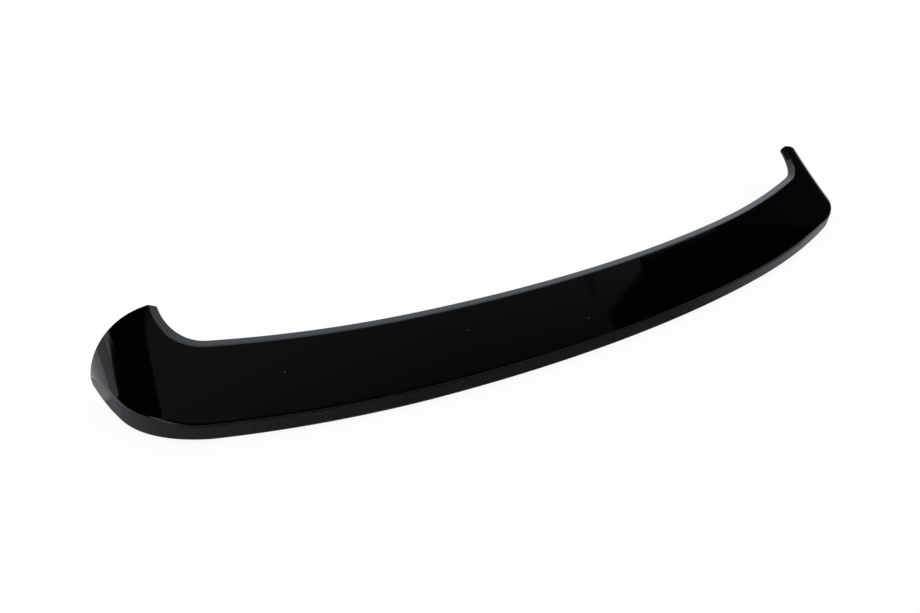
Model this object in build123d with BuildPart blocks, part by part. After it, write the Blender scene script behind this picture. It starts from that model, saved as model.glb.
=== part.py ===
from build123d import *
import os
from math import asin, cos, degrees, hypot, radians, sin

os.makedirs("parts", exist_ok=True)

# Roof spoiler cap, vacuum formed from one sheet of ABS and open underneath.
# Millimetres and degrees. X runs across the car, +Y points forward, +Z is up.
# The cap stands at Z = 0 on its rear wall and on the lower rims of its two ears.

# Overall sizes
overall_width = 1170.0      # across the outsides of the ears
overall_length = 196.4      # from the rear wall to the front edges of the ears
wall = 3.0                  # sheet thickness

# Section across the car
crown_radius = 4062.0       # the blade rises gently towards its middle
roll_radius = 74.8          # the ends roll down into the ears
roll_angle = 77.1           # how far the ears turn down at their lower corners
ear_wall_height = 7.3       # upright wall at the ears' lower front corners
ear_rim_slope = 40.9        # slope of the wall's lower rim where it ends at those corners
ear_rim_pull = 0.4          # share of its span over which that rim keeps its direction at each end

# Section along the car
trailing_slope = 24.6       # slope of the blade at its rear edge
chord_radius = 1125.0       # the blade is hollow from front to back
rear_wall_height = 17.5     # upright rear wall at the middle
middle_lift = 1.5           # gap under the middle of the rear wall when the cap stands

# Plan outline: rear edge and ends
rear_middle_radius = 1943.0
rear_side_radius = 1361.0
middle_half_width = 258.0   # where the middle curves pass into the side curves
end_lean = 16.7             # the ends lean outwards towards the front
end_corner_radius = 113.7

# Plan outline: the bay between the ears
blade_depth = 86.0          # rear edge to front edge at the middle
bay_middle_radius = 1927.0
bay_side_radius = 1326.0
ear_lean = 4.6              # the ears' inner edges lean outwards towards the front
bay_corner_radius = 49.8
ear_land = 4.0              # flat left between the bevel and the roll at the ears' tips

# Bevel and lip along the front edge
bevel_run = 11.4            # measured along the blade
bevel_drop = 6.0            # measured down the lip
lip_depth = 8.3             # blade to the lip's lower rim, square to the blade
rear_edge_radius = 1.6      # softens the line between the blade and the rear wall

# Reach of the cutting shapes past the part
reach = 150.0
sweep_margin = 4.0

# Places worked out from the sizes above
rear_y = -overall_length / 2
front_y = overall_length / 2
front_middle_y = rear_y + blade_depth
axis_y = rear_y - chord_radius * sin(radians(trailing_slope))
axis_z = middle_lift + rear_wall_height + chord_radius * cos(radians(trailing_slope))
hollow_axis = Axis((0, axis_y, axis_z), (1, 0, 0))
rim_depth = hypot(rear_y - axis_y, axis_z - middle_lift) - chord_radius
sweep_start = trailing_slope - sweep_margin
sweep_end = degrees(asin((front_y - axis_y) / chord_radius)) + sweep_margin

# The section plane holds the span direction and the axis that the blade's hollow turns about.
section = Plane(
    origin=(
        0,
        axis_y + chord_radius * sin(radians(sweep_start)),
        axis_z - chord_radius * cos(radians(sweep_start)),
    ),
    x_dir=(1, 0, 0),
    z_dir=(0, -cos(radians(sweep_start)), -sin(radians(sweep_start))),
)
crown_centre = Vector(0, -crown_radius)
roll_offset = overall_width / 2 - roll_radius * sin(radians(roll_angle))
crown_angle = degrees(asin(roll_offset / (crown_radius - roll_radius)))
roll_centre = crown_centre + Vector(0, crown_radius - roll_radius).rotate(Axis.Z, -crown_angle)
roll_start_x = crown_radius * sin(radians(crown_angle))
ear_tip_x = roll_start_x - bevel_run / cos(radians(ear_lean)) - ear_land


def far_crossing(centre: Vector, radius: float, start: Vector, direction: Vector) -> Vector:
    """Return the point where a line from a start inside a circle leaves it."""
    to_start = start - centre
    along = to_start.dot(direction)
    return start + direction * (-along + (along**2 - to_start.dot(to_start) + radius**2) ** 0.5)


def plan_half(edge_y, middle_radius, side_radius, side_x, lean, inset, front):
    """Draw half of a plan outline: a curve of two radii, then a leaning line to the front."""
    turn = degrees(asin(middle_half_width / middle_radius))
    middle_centre = Vector(0, edge_y + middle_radius)
    side_centre = middle_centre + Vector(0, side_radius - middle_radius).rotate(Axis.Z, turn)
    backwards = Vector(-sin(radians(lean)), -cos(radians(lean)))
    line_start = Vector(side_x - inset / cos(radians(lean)), front_y)
    line_front = line_start - backwards * ((front - front_y) / cos(radians(lean)))
    corner = far_crossing(side_centre, side_radius - inset, line_start, backwards)
    corner_turn = degrees(asin((corner - side_centre).X / (side_radius - inset)))
    CenterArc(middle_centre, middle_radius - inset, 270, turn)
    CenterArc(side_centre, side_radius - inset, 270 + turn, corner_turn - turn)
    Line(corner, line_front)
    Line(line_front, (0, front))


def cap_plan(inset: float, front: float) -> Sketch:
    """Return the plan of the cap as if it had no bay, drawn in by an inset."""
    with BuildSketch(Plane.XY.offset(-reach)) as plan:
        with BuildLine():
            radii = rear_middle_radius, rear_side_radius
            plan_half(rear_y, *radii, overall_width / 2, end_lean, inset, front)
            mirror(about=Plane.YZ)
        make_face()
        fillet(plan.vertices().group_by(Axis.Y)[-2], end_corner_radius - inset)
    return plan.sketch


def bay_plan(inset: float) -> Sketch:
    """Return the plan of the bay between the ears, grown into the cap by an inset."""
    with BuildSketch(Plane.XY.offset(-reach)) as plan:
        with BuildLine():
            radii = bay_middle_radius, bay_side_radius
            plan_half(front_middle_y, *radii, ear_tip_x, ear_lean, -inset, front_y + reach)
            mirror(about=Plane.YZ)
        make_face()
        fillet(plan.vertices().group_by(Axis.Y)[-2], bay_corner_radius + inset)
    return plan.sketch


def crown_face(solid: Part) -> Face:
    """Return the blade's upper face."""
    return solid.faces().filter_by(lambda face: face.normal_at().Z > 0).sort_by(SortBy.AREA)[-1]


def middle_edges(solid: Part) -> ShapeList:
    """Return the blade's rear and front edges where they start at the middle of the car, rear one first."""
    at_middle = crown_face(solid).edges().filter_by(lambda edge: min((edge @ 0).X, (edge @ 1).X) < 1)
    return at_middle.filter_by(GeomType.CIRCLE, reverse=True).sort_by(Axis.Y)


# Right half of the block under the cap's outer surface, down to its lower rim
with BuildPart() as body:
    with BuildSketch(section):
        with BuildLine():
            CenterArc(crown_centre, crown_radius, 90 - crown_angle, crown_angle)
            skin = CenterArc(roll_centre, roll_radius, 90 - roll_angle, roll_angle - crown_angle)
            floor = CenterArc(crown_centre, crown_radius - rim_depth, 90 - crown_angle, crown_angle)
            ear_wall = Line(skin @ 0, (skin @ 0) - Vector(0, ear_wall_height))
            rim_pull = ear_rim_pull * ((ear_wall @ 1) - (floor @ 0)).length
            rim_inward = Vector(-cos(radians(ear_rim_slope)), sin(radians(ear_rim_slope)))
            Bezier(
                floor @ 0,
                (floor @ 0) - (floor % 0) * rim_pull,
                (ear_wall @ 1) + rim_inward * rim_pull,
                ear_wall @ 1,
            )
            mirror(about=Plane.YZ)
        make_face()
    revolve(axis=hollow_axis, revolution_arc=sweep_end - sweep_start)
    extrude(cap_plan(0, front_y), amount=2 * reach, mode=Mode.INTERSECT)
    extrude(bay_plan(0), amount=2 * reach, mode=Mode.SUBTRACT)
    split(bisect_by=Plane.YZ)
    chamfer(middle_edges(body.part)[-1], bevel_run, bevel_drop, reference=crown_face(body.part))
    fillet(middle_edges(body.part)[0], rear_edge_radius)

# Right half of the underside's hollow, one sheet thickness inside and open at the ears' front edges
with BuildPart() as hollow:
    with BuildSketch(section):
        with BuildLine():
            CenterArc(crown_centre, crown_radius - wall, 90 - crown_angle, crown_angle)
            inner_skin = CenterArc(roll_centre, roll_radius - wall, 0, 90 - crown_angle)
            Polyline(inner_skin @ 0, (inner_skin @ 0) - Vector(0, reach), (0, (inner_skin @ 0).Y - reach))
            mirror(about=Plane.YZ)
        make_face()
    revolve(axis=hollow_axis, revolution_arc=sweep_end - sweep_start)
    extrude(cap_plan(wall, front_y + wall), amount=2 * reach, mode=Mode.INTERSECT)
    extrude(bay_plan(wall), amount=2 * reach, mode=Mode.SUBTRACT)
    split(bisect_by=Plane.YZ)
    chamfer(middle_edges(hollow.part)[-1], bevel_run, bevel_drop, reference=crown_face(hollow.part))

# What is trimmed off below the lip along the bay
with BuildPart() as lip_trim:
    with BuildSketch(section):
        with BuildLine():
            lip_line = CenterArc(crown_centre, crown_radius - lip_depth, 90 - crown_angle, crown_angle)
            Polyline(lip_line @ 0, (lip_line @ 0) - Vector(0, reach), (0, (lip_line @ 0).Y - reach))
            mirror(about=Plane.YZ)
        make_face()
    revolve(axis=hollow_axis, revolution_arc=sweep_end - sweep_start)
    extrude(bay_plan(2 * wall), amount=2 * reach, mode=Mode.INTERSECT)

# The formed cap, its left half a mirror image of its right half
with BuildPart() as spoiler_cap:
    add(body.part)
    add(hollow.part, mode=Mode.SUBTRACT)
    add(lip_trim.part, mode=Mode.SUBTRACT)
    mirror(about=Plane.YZ)

spoiler_cap.part.label = "spoiler_cap"
export_step(spoiler_cap.part, "parts/spoiler_cap.step")
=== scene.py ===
"""Gloss black roof spoiler cap in a plain white studio."""

import logging
from bisect import bisect_right
from dataclasses import dataclass
from enum import Enum
from math import asin, atan2, cos, hypot, radians, sin, sqrt
from typing import Any

import bmesh
import bpy
from mathutils import Euler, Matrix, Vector


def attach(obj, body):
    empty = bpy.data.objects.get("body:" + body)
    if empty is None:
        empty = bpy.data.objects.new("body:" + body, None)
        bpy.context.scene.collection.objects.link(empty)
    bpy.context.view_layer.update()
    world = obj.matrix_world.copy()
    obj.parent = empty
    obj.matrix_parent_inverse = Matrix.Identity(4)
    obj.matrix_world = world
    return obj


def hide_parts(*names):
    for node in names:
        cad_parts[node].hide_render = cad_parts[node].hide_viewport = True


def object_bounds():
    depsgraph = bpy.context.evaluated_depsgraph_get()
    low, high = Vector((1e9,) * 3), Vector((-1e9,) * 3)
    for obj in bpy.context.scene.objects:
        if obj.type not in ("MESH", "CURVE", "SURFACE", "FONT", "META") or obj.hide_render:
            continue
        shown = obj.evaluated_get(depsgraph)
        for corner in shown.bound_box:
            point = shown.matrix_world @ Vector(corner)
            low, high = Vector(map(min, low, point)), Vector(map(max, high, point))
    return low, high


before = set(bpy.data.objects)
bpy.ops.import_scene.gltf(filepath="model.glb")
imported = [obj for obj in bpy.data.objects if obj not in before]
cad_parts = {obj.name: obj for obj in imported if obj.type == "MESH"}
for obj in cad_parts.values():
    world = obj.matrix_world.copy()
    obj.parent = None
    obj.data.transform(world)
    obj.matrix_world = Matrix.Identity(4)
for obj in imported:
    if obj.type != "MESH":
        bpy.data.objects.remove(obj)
CAD_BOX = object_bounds()
LOG = logging.getLogger("spoiler")

MM = 0.001
WHITE = "ffffff"


def srgb(code: str) -> tuple[float, float, float, float]:
    """Turn an sRGB hex colour into linear values.

    Args:
        code: Six hex digits.

    Returns:
        Linear red, green, blue and an alpha of one.
    """
    parts = [int(code[i:i + 2], 16) / 255 for i in (0, 2, 4)]
    linear = [c / 12.92 if c <= 0.04045 else ((c + 0.055) / 1.055) ** 2.4 for c in parts]
    return linear[0], linear[1], linear[2], 1.0


def add_node(tree: bpy.types.NodeTree, kind: str, settings: dict[str, Any] | None = None,
             **inputs: Any) -> bpy.types.Node:
    """Add a shader node, set it up and link it.

    Args:
        tree: Node tree that gets the node.
        kind: Node type.
        settings: Values of the node's own properties.
        **inputs: Values or output sockets, by socket name with _ for a space, or by the letter i
            and the socket's place.

    Returns:
        The new node.
    """
    node = tree.nodes.new(kind)
    for name, value in (settings or {}).items():
        setattr(node, name, value)
    for name, value in inputs.items():
        by_place = name[0] == "i" and name[1:].isdigit()
        socket = node.inputs[int(name[1:]) if by_place else name.replace("_", " ")]
        if isinstance(value, bpy.types.NodeSocket):
            tree.links.new(value, socket)
        else:
            socket.default_value = value
    return node


def seen_rays(tree: bpy.types.NodeTree) -> bpy.types.NodeSocket:
    """Pick out the rays that show a surface, straight or in gloss and glass, and not those that light others.

    Args:
        tree: Node tree that gets the nodes.

    Returns:
        A value of one for those rays and zero for the rest.
    """
    path = add_node(tree, "ShaderNodeLightPath")
    seen = path.outputs["Is Camera Ray"]
    for ray in ("Is Glossy Ray", "Is Transmission Ray"):
        most = add_node(tree, "ShaderNodeMath", {"operation": "MAXIMUM"}, i0=seen, i1=path.outputs[ray])
        seen = most.outputs[0]
    return seen


def empty_material(name: str) -> tuple[bpy.types.Material, bpy.types.NodeTree, bpy.types.Node]:
    """Make a node material with nothing in it but its output.

    Args:
        name: Name of the real material.

    Returns:
        The material, its node tree and its output node.
    """
    material = bpy.data.materials.new(name)
    material.use_nodes = True
    tree = material.node_tree
    tree.nodes.clear()
    return material, tree, tree.nodes.new("ShaderNodeOutputMaterial")


@dataclass(frozen=True)
class PolishedAbs:
    """Gloss black ABS sheet, formed over a tool and left as it came off."""

    # To the eye: deep black with sharp reflections that are faintly wavy, and a few grains of dust
    name: str = "abs_black_gloss"
    colour: str = "020203"
    roughness: float = 0.045
    ior: float = 1.5
    wave_mm: float = 90.0
    wave_height_mm: float = 1.0
    wave_strength: float = 0.04
    wave_detail: float = 1.0
    dust_colour: str = "b8b8b8"
    dust_roughness: float = 0.7
    dust_cover: float = 0.14
    dust_radii_mm: tuple[float, float] = (0.5, 0.9)
    dust_places_mm: tuple[tuple[float, float, float], ...] = (
        (-411.3, -7.9, 41.4),
        (-205.4, -37.2, 43.3),
        (-52.2, -72.0, 31.0),
    )

    def build(self) -> bpy.types.Material:
        """Make the material.

        Returns:
            The material.
        """
        material, tree, output = empty_material(self.name)
        place = add_node(tree, "ShaderNodeTexCoord").outputs["Object"]
        wave = add_node(tree, "ShaderNodeTexNoise", Vector=place, Scale=1 / (self.wave_mm * MM),
                        Detail=self.wave_detail)
        bump = add_node(tree, "ShaderNodeBump", Strength=self.wave_strength,
                        Distance=self.wave_height_mm * MM, Height=wave.outputs["Fac"])
        # Each grain is a thin pale spot, even to its first radius and gone at its second
        dust: float | bpy.types.NodeSocket = 0.0
        core, rim = self.dust_radii_mm
        for spot in self.dust_places_mm:
            gap = add_node(tree, "ShaderNodeVectorMath", {"operation": "DISTANCE"}, i0=place,
                           i1=Vector(spot) * MM)
            grain = add_node(tree, "ShaderNodeMapRange", Value=gap.outputs["Value"], From_Min=core * MM,
                             From_Max=rim * MM, To_Min=self.dust_cover, To_Max=0.0)
            most = add_node(tree, "ShaderNodeMath", {"operation": "MAXIMUM"}, i0=grain.outputs[0], i1=dust)
            dust = most.outputs[0]
        shade = add_node(tree, "ShaderNodeMix", {"data_type": "RGBA"}, Factor=dust,
                         A=srgb(self.colour), B=srgb(self.dust_colour))
        rough = add_node(tree, "ShaderNodeMapRange", Value=dust, To_Min=self.roughness,
                         To_Max=self.dust_roughness)
        shader = add_node(tree, "ShaderNodeBsdfPrincipled", Base_Color=shade.outputs["Result"],
                          Roughness=rough.outputs[0], IOR=self.ior, Normal=bump.outputs["Normal"])
        tree.links.new(shader.outputs[0], output.inputs["Surface"])
        return material


@dataclass(frozen=True)
class TrimmedAbs:
    """Satin black ABS of the rear wall, drawn thin by the forming and sanded after it."""

    # To the eye: dark grey and grainy, with a broad dull sheen in place of reflections
    name: str = "abs_black_satin"
    tones: tuple[str, str] = ("060708", "1b1c1f")
    tone_range: tuple[float, float] = (0.35, 0.65)
    roughness: tuple[float, float] = (0.3, 0.52)
    specular: float = 0.25
    ior: float = 1.5
    grain_mm: float = 1.6  # drawn as coarse as it has to be to show
    grain_height_mm: float = 0.2
    grain_strength: float = 0.25
    grain_detail: float = 3.0

    def build(self) -> bpy.types.Material:
        """Make the material.

        Returns:
            The material.
        """
        material, tree, output = empty_material(self.name)
        place = add_node(tree, "ShaderNodeTexCoord").outputs["Object"]
        noise = add_node(tree, "ShaderNodeTexNoise", Vector=place, Scale=1 / (self.grain_mm * MM),
                         Detail=self.grain_detail)
        grain = noise.outputs["Fac"]
        bump = add_node(tree, "ShaderNodeBump", Strength=self.grain_strength,
                        Distance=self.grain_height_mm * MM, Height=grain)
        rough = add_node(tree, "ShaderNodeMapRange", Value=grain, To_Min=self.roughness[0],
                         To_Max=self.roughness[1])
        spread = add_node(tree, "ShaderNodeMapRange", Value=grain, From_Min=self.tone_range[0],
                          From_Max=self.tone_range[1])
        tone = add_node(tree, "ShaderNodeMix", {"data_type": "RGBA"}, Factor=spread.outputs[0],
                        A=srgb(self.tones[0]), B=srgb(self.tones[1]))
        shader = add_node(tree, "ShaderNodeBsdfPrincipled", Base_Color=tone.outputs["Result"],
                          Roughness=rough.outputs[0], IOR=self.ior, Specular_IOR_Level=self.specular,
                          Normal=bump.outputs["Normal"])
        tree.links.new(shader.outputs[0], output.inputs["Surface"])
        return material


@dataclass(frozen=True)
class StudioPaper:
    """Matt white background paper, rolled out under the part."""

    # To the eye: plain white, in reflections too, with a faint shadow
    name: str = "paper_white"
    colour: str = "fcfcfc"
    shadow_share: float = 0.12

    def build(self) -> bpy.types.Material:
        """Make the material.

        Returns:
            The material.
        """
        material, tree, output = empty_material(self.name)
        share = add_node(tree, "ShaderNodeMath", {"operation": "MULTIPLY"}, i0=seen_rays(tree),
                         i1=1 - self.shadow_share)
        paper = add_node(tree, "ShaderNodeBsdfDiffuse", Color=srgb(self.colour))
        white = add_node(tree, "ShaderNodeEmission", Color=srgb(WHITE), Strength=1.0)
        both = add_node(tree, "ShaderNodeMixShader", Fac=share.outputs[0], i1=paper.outputs[0],
                        i2=white.outputs[0])
        tree.links.new(both.outputs[0], output.inputs["Surface"])
        return material


class Finish(Enum):
    """Places of the finishes in the cap's list of materials."""

    GLOSS = 0
    SATIN = 1


class Row(Enum):
    """Lines that run along the cap, counted from the lip's rim at the bay."""

    NONE = -1
    BEVEL_FOOT = 1
    SHOULDER = 2


class Stretch(Enum):
    """Stretches of a plan outline, from the middle of the car to the front of an ear."""

    MIDDLE = 0
    SIDE = 1
    END = 2


@dataclass(frozen=True)
class EdgeRound:
    """A rounded edge: its reach to either side in millimetres, and the number of faces across it."""

    reach: float
    segments: int

    def cut(self, shape: bmesh.types.BMesh, edges: list[bmesh.types.BMEdge]) -> list[bmesh.types.BMVert]:
        """Round some edges of a shape.

        Args:
            shape: The shape, in metres.
            edges: Its edges that are rounded.

        Returns:
            The points that the rounding made.
        """
        made = bmesh.ops.bevel(shape, geom=edges, offset=self.reach * MM, affect="EDGES",
                               segments=self.segments, profile=0.5, material=-1)
        return made["verts"]


@dataclass
class PlanCurve:
    """Right half of a plan outline: two radii from the middle, a corner and a leaning line to the front.

    Sizes are in millimetres, and the lean is in radians.
    """

    edge_y: float
    middle_radius: float
    side_radius: float
    join_x: float
    side_x: float
    lean: float
    corner_radius: float
    front_y: float

    def __post_init__(self) -> None:
        """Work out the centres and turns of the three arcs and the line after them."""
        self.join = asin(self.join_x / self.middle_radius)
        self.middle = Vector((0, self.edge_y + self.middle_radius))
        reach = self.middle_radius - self.side_radius
        self.side = self.middle + Vector((sin(self.join) * reach, -cos(self.join) * reach))
        # The corner's centre lies one corner radius inside both the side arc and the leaning line
        self.outward = Vector((cos(self.lean), -sin(self.lean)))
        self.along = Vector((sin(self.lean), cos(self.lean)))
        front = Vector((self.side_x, self.front_y))
        start = front - self.outward * self.corner_radius
        gap = start - self.side
        part = gap.dot(self.along)
        ring = self.side_radius - self.corner_radius
        self.corner = start - self.along * (part + sqrt(part ** 2 - gap.length_squared + ring ** 2))
        away = (self.corner - self.side).normalized()
        self.corner_start = atan2(away.x, -away.y)
        self.bend = self.corner_radius * (atan2(self.outward.x, -self.outward.y) - self.corner_start)
        self.corner_foot = self.corner + self.outward * self.corner_radius
        self.end_length = self.bend + (front - self.corner_foot).length

    def at(self, stretch: Stretch, share: float) -> tuple[Vector, Vector]:
        """Find a point of the outline and the direction out of it.

        Args:
            stretch: Stretch of the outline. Its end is the corner and the line after it.
            share: Place along that stretch, from 0 to 1.

        Returns:
            The point and the unit vector that points out of the outline.
        """
        if stretch is Stretch.MIDDLE:
            centre, radius = self.middle, self.middle_radius
            turn = self.join * share
        elif stretch is Stretch.SIDE:
            centre, radius = self.side, self.side_radius
            turn = self.join + (self.corner_start - self.join) * share
        else:
            run = share * self.end_length
            if run > self.bend:
                return self.corner_foot + self.along * (run - self.bend), self.outward
            centre, radius = self.corner, self.corner_radius
            turn = self.corner_start + run / self.corner_radius
        out = Vector((sin(turn), -cos(turn)))
        return centre + out * radius, out


@dataclass
class SpoilerCap:
    """The one formed piece: lip, bevel, blade, ears and rear wall as one sheet.

    Sizes are in millimetres and degrees. The sections, the plan outlines and the lip are the CAD part's. The
    ears' lower rim, the bevel at the ears' tips and the rounded edges go beyond it.
    """

    node: str = "spoiler_cap"
    material_slot: str = "gloss_black_abs"
    gloss: PolishedAbs = PolishedAbs()
    satin: TrimmedAbs = TrimmedAbs()

    # Overall sizes
    width: float = 1170.0
    length: float = 196.4
    wall: float = 3.0

    # Section across the car
    crown_radius: float = 4062.0
    roll_radius: float = 74.8
    roll_angle: float = 77.1

    # Section along the car
    trailing_slope: float = 24.6
    chord_radius: float = 1125.0
    rear_wall_height: float = 17.5
    middle_lift: float = 1.5

    # Plan outlines: the rear edge with the ends, and the bay between the ears
    middle_half_width: float = 258.0
    rear_radii: tuple[float, float] = (1943.0, 1361.0)
    end_lean: float = 16.7
    end_corner_radius: float = 113.7
    blade_depth: float = 86.0
    bay_radii: tuple[float, float] = (1927.0, 1326.0)
    ear_lean: float = 4.6
    bay_corner_radius: float = 49.8
    ear_land: float = 4.0

    # Lower rim of the ears
    ear_foot_climb: float = 0.09     # slope of the rim where it leaves the rear wall's
    ear_foot_low: float = 0.1        # height of its lowest place
    ear_foot_rise: float = 13.1      # rise of the round corner at the front
    ear_foot_reach: float = 40.0     # length of that corner

    # Bevel and lip along the bay
    bevel_run: float = 11.4
    tip_bevel_run: float = 8.3       # at the ears' tips
    taper_start: float = 0.55        # share of the ears' edge where the bevel starts to narrow
    bevel_drop: float = 6.0
    lip_depth: float = 8.3
    slope_probe: float = 0.5         # half the step over which the blade's slope is taken

    # Rounded edges
    shoulder_round: EdgeRound = EdgeRound(1.3, 5)
    rear_round: EdgeRound = EdgeRound(2.8, 4)
    foot_round: EdgeRound = EdgeRound(1.0, 3)
    rim_round: EdgeRound = EdgeRound(0.4, 2)
    rim_angle: float = 50.0          # edges that turn more than this are rims
    square_reach: float = 30.0       # stretch over which the inner side comes square to the front

    # Fineness of the grid
    columns: tuple[int, int, int] = (44, 36, 46)  # over the three stretches of one half
    blade_rows: int = 22
    fine_steps: int = 160            # in which the length of a line over the blade is added up

    def __post_init__(self) -> None:
        """Work out the places that follow from the sizes."""
        slope = radians(self.trailing_slope)
        self.rear_y = -self.length / 2
        self.front_y = self.length / 2
        self.axis_y = self.rear_y - self.chord_radius * sin(slope)
        self.axis_z = self.middle_lift + self.rear_wall_height + self.chord_radius * cos(slope)
        self.rim_depth = hypot(self.rear_y - self.axis_y, self.axis_z - self.middle_lift) - self.chord_radius
        ring = self.crown_radius - self.roll_radius
        self.roll_reach = self.roll_radius * sin(radians(self.roll_angle))
        self.crown_turn = asin((self.width / 2 - self.roll_reach) / ring)
        self.roll_x = ring * sin(self.crown_turn)
        self.roll_depth = self.crown_radius - ring * cos(self.crown_turn)
        self.roll_start = self.crown_radius * sin(self.crown_turn)
        self.corner_row = Row.SHOULDER.value + self.blade_rows
        lean = radians(self.ear_lean)
        tip_x = self.roll_start - self.bevel_run / cos(lean) - self.ear_land
        self.bay = PlanCurve(self.rear_y + self.blade_depth, *self.bay_radii, self.middle_half_width,
                             tip_x, lean, self.bay_corner_radius, self.front_y)
        self.rear = PlanCurve(self.rear_y, *self.rear_radii, self.middle_half_width,
                              self.width / 2, radians(self.end_lean), self.end_corner_radius, self.front_y)

    def skin_depth(self, x: float) -> float:
        """Find how far the section's skin lies below its crown.

        Args:
            x: Distance from the middle of the car.

        Returns:
            The depth.
        """
        if x <= self.roll_start:
            return self.crown_radius - sqrt(self.crown_radius ** 2 - x ** 2)
        across = min(x - self.roll_x, self.roll_reach)
        return self.roll_depth - sqrt(self.roll_radius ** 2 - across ** 2)

    def height(self, y: float, depth: float) -> float:
        """Height of a surface that lies a depth below the section's crown."""
        return self.axis_z - sqrt((self.chord_radius + depth) ** 2 - (y - self.axis_y) ** 2)

    def skin(self, plan: Vector) -> Vector:
        """Point of the blade's skin over a point of the plan."""
        return Vector((plan.x, plan.y, self.height(plan.y, self.skin_depth(plan.x))))

    def wall_foot(self, plan: Vector) -> float:
        """Height of the lower rim of the rear wall, which is crowned like the blade."""
        inner = self.crown_radius - self.rim_depth
        return self.height(plan.y, self.crown_radius - sqrt(inner ** 2 - plan.x ** 2))

    def ear_foot(self, share: float) -> float:
        """Height of the ears' lower rim, which comes down to the floor and has a round corner at the front.

        Args:
            share: Place along the end of the plan, from 0 at its corner's start to 1 at the front.

        Returns:
            The height.
        """
        run = share * self.rear.end_length
        low_run = self.rear.end_length - self.ear_foot_reach
        down = min(run / low_run, 1.0)
        first = self.wall_foot(self.rear.at(Stretch.END, 0.0)[0]) - self.ear_foot_low
        level = (1 - down) ** 2 * (first + (2 * first + self.ear_foot_climb * low_run) * down)
        rise = self.ear_foot_rise * max(0.0, (run - low_run) / self.ear_foot_reach) ** 2
        return self.ear_foot_low + level + rise

    def bevel_width(self, plan: Vector, out: Vector, run: float) -> float:
        """Find the plan width of a bevel whose run is measured along the sloping blade.

        Args:
            plan: Point of the bay's outline.
            out: Direction out of the bay there.
            run: The bevel's run.

        Returns:
            The width.
        """
        step = out * self.slope_probe
        rise = (self.skin(plan + step).z - self.skin(plan - step).z) / (2 * self.slope_probe)
        return run / hypot(1, rise)

    def blade_line(self, shoulder: Vector, edge: Vector) -> list[Vector]:
        """Space points evenly along the blade's skin, over a straight line of the plan.

        Args:
            shoulder: Point of the plan where the line starts, at the bevel.
            edge: Point of the plan where it ends, at the rear wall.

        Returns:
            The points.
        """
        fine = [self.skin(shoulder.lerp(edge, k / self.fine_steps)) for k in range(self.fine_steps + 1)]
        run = [0.0]
        for a, b in zip(fine, fine[1:]):
            run.append(run[-1] + (b - a).length)
        points: list[Vector] = []
        for k in range(self.blade_rows + 1):
            want = run[-1] * k / self.blade_rows
            i = min(bisect_right(run, want) - 1, self.fine_steps - 1)
            points.append(fine[i].lerp(fine[i + 1], (want - run[i]) / (run[i + 1] - run[i])))
        return points

    def column(self, stretch: Stretch, share: float) -> list[Vector]:
        """Find the points of one line across the cap, from the lip's rim to the foot of the rear wall.

        Args:
            stretch: Stretch of the plan outlines that the line crosses.
            share: Place along that stretch, from 0 to 1.

        Returns:
            The points for the right half of the cap.
        """
        on_ear = stretch is Stretch.END
        foot, out = self.bay.at(stretch, share)
        edge, _ = self.rear.at(stretch, share)
        # Along the ears the bevel grows narrower and ends square to the front
        ease = max(0.0, (share - self.taper_start) / (1 - self.taper_start)) if on_ear else 0.0
        width = self.bevel_width(foot, out, self.bevel_run + (self.tip_bevel_run - self.bevel_run) * ease)
        shoulder = foot + (out - Vector((0, out.y)) * ease) * width
        lip_rim = self.height(foot.y, self.skin_depth(foot.x) + self.lip_depth)
        bevel_foot = self.skin(foot).z - self.bevel_drop
        wall_rim = self.ear_foot(share) if on_ear else self.wall_foot(edge)
        return [
            Vector((foot.x, foot.y, lip_rim)),
            Vector((foot.x, foot.y, bevel_foot)),
            *self.blade_line(shoulder, edge),
            Vector((edge.x, edge.y, wall_rim)),
        ]

    def sheet(self) -> bmesh.types.BMesh:
        """Lay a grid over the cap's outer surface.

        Returns:
            The open sheet, in metres, with its faces turned outwards and marked with their finishes.
        """
        half: list[list[Vector]] = []
        for stretch, count in zip(Stretch, self.columns):
            half += [self.column(stretch, k / count) for k in range(count)]
        half.append(self.column(Stretch.END, 1.0))
        last = len(half) - 1
        rows = len(half[0])
        shape = bmesh.new()
        bmesh.ops.create_grid(shape, x_segments=2 * last, y_segments=rows - 1, size=1.0)
        row_of = shape.verts.layers.int.new("row")
        for vert in shape.verts:
            i = round((vert.co.x + 1) * last) - last
            j = round((vert.co.y + 1) / 2 * (rows - 1))
            point = half[abs(i)][j]
            vert.co = Vector((point.x if i >= 0 else -point.x, point.y, point.z)) * MM
            vert[row_of] = j
        for face in shape.faces:
            on_wall = min(v[row_of] for v in face.verts) >= self.corner_row
            face.material_index = (Finish.SATIN if on_wall else Finish.GLOSS).value
        bmesh.ops.reverse_faces(shape, faces=shape.faces)
        shape.normal_update()
        return shape

    def thicken(self, shape: bmesh.types.BMesh) -> None:
        """Give the sheet its wall, whose inner side ends at the front where the outer side does.

        Args:
            shape: The open sheet, which becomes a closed wall. The points of its inner side are on no row.
        """
        row_of = shape.verts.layers.int["row"]
        home_of = shape.verts.layers.float_vector.new("home")
        outside = set(shape.verts)
        for vert in outside:
            vert[home_of] = vert.co
        bmesh.ops.solidify(shape, geom=shape.faces[:], thickness=self.wall * MM)
        for vert in shape.verts:
            if vert in outside:
                continue
            vert[row_of] = Row.NONE.value
            home = vert[home_of]
            slope = (home.y - self.axis_y * MM) / (self.axis_z * MM - home.z)
            share = max(0.0, 1 - (self.front_y * MM - home.y) / (self.square_reach * MM))
            back = share * (vert.co.y - home.y)
            vert.co -= Vector((0, back, back * slope))
        shape.normal_update()

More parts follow.
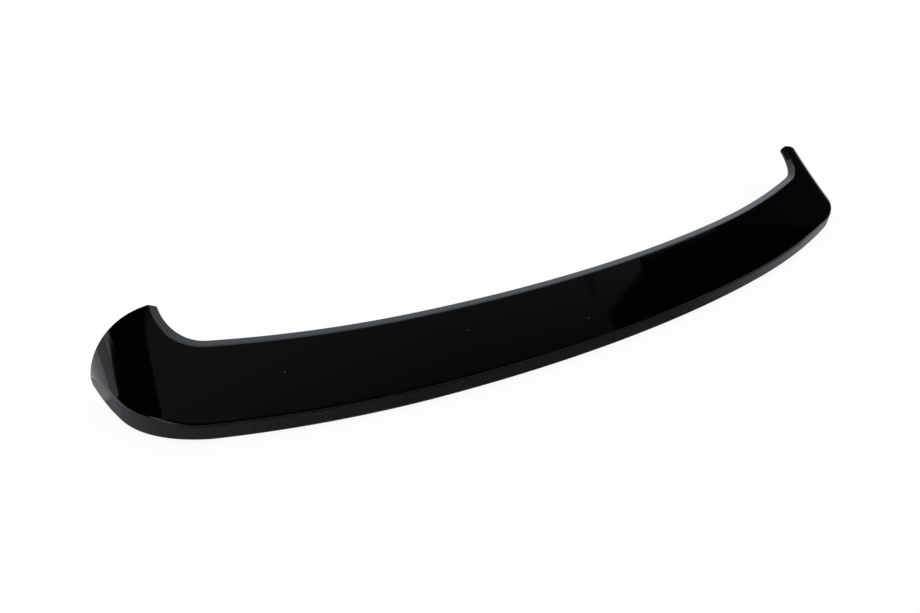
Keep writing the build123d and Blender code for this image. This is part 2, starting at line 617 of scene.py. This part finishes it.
    def round_edges(self, shape: bmesh.types.BMesh) -> None:
        """Round the lines along the cap and its rims, and leave the edges cut at the front sharp.

        Args:
            shape: The closed wall.
        """
        row_of = shape.verts.layers.int["row"]
        rounds = (
            (Row.SHOULDER.value, self.shoulder_round),
            (self.corner_row, self.rear_round),
            (Row.BEVEL_FOOT.value, self.foot_round),
        )
        for row, edge_round in rounds:
            edges = [e for e in shape.edges if all(v[row_of] == row for v in e.verts)]
            for vert in edge_round.cut(shape, edges):
                vert[row_of] = Row.NONE.value
        shape.normal_update()
        rims = [e for e in shape.edges if e.is_convex and e.calc_face_angle() > radians(self.rim_angle)]
        front = (self.front_y - self.rim_round.reach / 2) * MM
        for edge in rims:
            if all(v.co.y > front for v in edge.verts):
                edge.smooth = False
        self.rim_round.cut(shape, [e for e in rims if e.smooth])
        for vert in shape.verts:
            vert.co.y = min(vert.co.y, self.front_y * MM)
        for face in shape.faces:
            face.smooth = True

    def dress(self, piece: bpy.types.Object) -> None:
        """Give the piece its finishes and an even shading.

        Args:
            piece: The formed piece.
        """
        piece.data.materials.append(self.gloss.build())
        piece.data.materials.append(self.satin.build())
        even = piece.modifiers.new("even_shading", "WEIGHTED_NORMAL")
        even.keep_sharp = True

    def build(self) -> bpy.types.Object:
        """Form the sheet, give it its thickness, round its edges and dress it.

        Returns:
            The finished piece.
        """
        shape = self.sheet()
        self.thicken(shape)
        self.round_edges(shape)
        mesh = bpy.data.meshes.new("cap")
        shape.to_mesh(mesh)
        shape.free()
        piece = bpy.data.objects.new("cap", mesh)
        bpy.context.collection.objects.link(piece)
        self.dress(piece)
        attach(piece, "root")
        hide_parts(self.node)
        return piece


@dataclass(frozen=True)
class ReflectorCard:
    """A flat card round the set, which shows only in the gloss. Sizes in metres and degrees."""

    name: str
    centre: tuple[float, float, float]
    size: tuple[float, float]
    radiance: float
    turn: tuple[float, float, float] = (0.0, 0.0, 0.0)
    fade: tuple[float, float] = (0.0, 0.0)  # where along its own Y it goes from faded to full
    faded: float = 0.0
    colour: str = "f2f7ff"

    def glow(self) -> bpy.types.Material:
        """Make the card's light, which may fade along the card.

        Returns:
            The material.
        """
        material, tree, output = empty_material(self.name)
        light = add_node(tree, "ShaderNodeEmission", Color=srgb(self.colour), Strength=self.radiance)
        if self.fade[1] > self.fade[0]:
            along = add_node(tree, "ShaderNodeTexCoord").outputs["Object"]
            place = add_node(tree, "ShaderNodeSeparateXYZ", Vector=along)
            level = add_node(tree, "ShaderNodeMapRange", Value=place.outputs["Y"], From_Min=self.fade[0],
                             From_Max=self.fade[1], To_Min=self.faded, To_Max=self.radiance)
            tree.links.new(level.outputs[0], light.inputs["Strength"])
        tree.links.new(light.outputs[0], output.inputs["Surface"])
        return material

    def build(self) -> bpy.types.Object:
        """Hang the card.

        Returns:
            The card.
        """
        mesh = bpy.data.meshes.new(self.name)
        shape = bmesh.new()
        bmesh.ops.create_grid(shape, x_segments=1, y_segments=1, size=0.5)
        bmesh.ops.scale(shape, verts=shape.verts, vec=(self.size[0], self.size[1], 1))
        shape.to_mesh(mesh)
        shape.free()
        mesh.materials.append(self.glow())
        card = bpy.data.objects.new(self.name, mesh)
        card.location = self.centre
        card.rotation_euler = Euler([radians(a) for a in self.turn])
        bpy.context.collection.objects.link(card)
        card.visible_camera = False
        card.visible_diffuse = False
        card.visible_shadow = False
        return card


@dataclass
class Studio:
    """Floor, light, reflector cards and camera."""

    floor_size: float = 12.0
    room_light: float = 1.0
    camera_place_mm: tuple[float, float, float] = (-561.56, -560.34, 514.82)
    camera_turn: tuple[float, float, float] = (55.1744, -2.7441, -31.42)
    lens: float = 27.0
    sensor_width: float = 36.0

    # Flags are dark cards, strips are narrow lights, and the floor's cards lie on the paper as painted shade
    # of the floor
    cards: tuple[ReflectorCard, ...] = (
        ReflectorCard("ceiling_panel", (0.0, -0.48, 0.82), (2.6, 1.0), 0.135,
                      fade=(0.26, 0.37), faded=0.015),
        ReflectorCard("ceiling_right", (3.18, -0.10, 0.81), (3.8, 0.9), 0.015, (0.0, 0.0, 10.2)),
        ReflectorCard("flag_right", (1.68, -0.310, 0.80), (1.76, 0.5), 0.0, (0.0, 0.0, 3.4)),
        ReflectorCard("flag_right_corner", (0.7255, -0.395, 0.795), (0.2386, 0.5), 0.0, (0.0, 0.0, 9.9)),
        ReflectorCard("panel_middle", (0.56, -0.3, 0.81), (0.03, 0.6), 0.06),
        ReflectorCard("strip_right", (1.02, -0.100, 0.79), (0.46, 0.002), 0.35, (0.0, 0.0, 4.4)),
        ReflectorCard("strip_middle", (0.695, -0.181, 0.79), (0.09, 0.002), 0.3, (0.0, 0.0, 5.0)),
        ReflectorCard("strip_left", (-0.595, -0.148, 0.79), (0.1, 0.003), 0.5, (0.0, 0.0, -3.0)),
        ReflectorCard("flag_left", (-1.372, 0.128, 0.80), (1.506, 0.5), 0.0, (0.0, 0.0, 5.0)),
        ReflectorCard("flag_far_left", (-5.266, 0.774, 0.79), (6.41, 1.5), 0.0, (0.0, 0.0, -20.8)),
        ReflectorCard("side_left", (-8.5, 1.5, 1.2), (2.6, 12.0), 0.62, (0.0, 90.0, 0.0)),
        ReflectorCard("side_right", (4.6, 0.8, 0.8), (1.6, 3.0), 0.05, (0.0, 90.0, 0.0)),
        ReflectorCard("side_back", (2.0, -1.6, 0.55), (9.0, 1.1), 0.01, (90.0, 0.0, 0.0)),
        # Painted shade: these floor cards are darker than the white paper and stand, in the gloss only, for
        # the floor's shadow behind the part, darkest behind its middle and dim farther back
        ReflectorCard("floor_shade_back", (1.5, -0.95, 0.0015), (7.0, 1.3), 0.06),
        ReflectorCard("floor_shade_left", (-0.46, -0.12, 0.002), (0.4, 0.32), 0.5, (0.0, 0.0, 90.0),
                      fade=(-0.16, 0.16), faded=0.14),
        ReflectorCard("floor_shade_middle", (-0.09, -0.17, 0.002), (0.42, 0.36), 0.14),
        ReflectorCard("floor_shade_right", (0.27, -0.15, 0.002), (0.4, 0.30), 1.0, (0.0, 0.0, -90.0),
                      fade=(-0.15, 0.15), faded=0.14),
        ReflectorCard("softbox_front", (0.85, 0.86, 0.83), (2.8, 0.62), 1.25, colour="e8f4ff"),
    )

    def build_floor(self) -> bpy.types.Object:
        """Lay the paper under the part.

        Returns:
            The floor.
        """
        mesh = bpy.data.meshes.new("floor")
        shape = bmesh.new()
        bmesh.ops.create_grid(shape, x_segments=1, y_segments=1, size=self.floor_size / 2)
        bmesh.ops.translate(shape, verts=shape.verts, vec=(0, 0, CAD_BOX[0][2]))
        shape.to_mesh(mesh)
        shape.free()
        floor = bpy.data.objects.new("floor", mesh)
        bpy.context.collection.objects.link(floor)
        mesh.materials.append(StudioPaper().build())
        return floor

    def build_world(self) -> None:
        """Light the room evenly, with a white background in sight and in reflections."""
        world = bpy.data.worlds.new("studio")
        bpy.context.scene.world = world
        world.use_nodes = True
        tree = world.node_tree
        tree.nodes.clear()
        light = add_node(tree, "ShaderNodeBackground", Color=srgb(WHITE), Strength=self.room_light)
        white = add_node(tree, "ShaderNodeBackground", Color=srgb(WHITE), Strength=1.0)
        both = add_node(tree, "ShaderNodeMixShader", Fac=seen_rays(tree), i1=light.outputs[0],
                        i2=white.outputs[0])
        add_node(tree, "ShaderNodeOutputWorld", Surface=both.outputs[0])

    def build_camera(self) -> None:
        """Put the camera where the photograph was taken from."""
        data = bpy.data.cameras.new("camera")
        data.lens = self.lens
        data.sensor_width = self.sensor_width
        camera = bpy.data.objects.new("camera", data)
        camera.location = Vector(self.camera_place_mm) * MM
        camera.rotation_euler = Euler([radians(a) for a in self.camera_turn])
        bpy.context.collection.objects.link(camera)
        bpy.context.scene.camera = camera

    def build(self) -> None:
        """Set up the whole studio."""
        self.build_floor()
        self.build_world()
        for card in self.cards:
            card.build()
        self.build_camera()
        bpy.context.scene.view_settings.view_transform = "Standard"


def main() -> None:
    """Build the part and its studio, and note the number of the piece's faces."""
    logging.basicConfig(level=logging.INFO)
    cap = SpoilerCap().build()
    LOG.info("piece %s: %d faces", cap.name, len(cap.data.polygons))
    Studio().build()


if __name__ == "__main__":
    main()
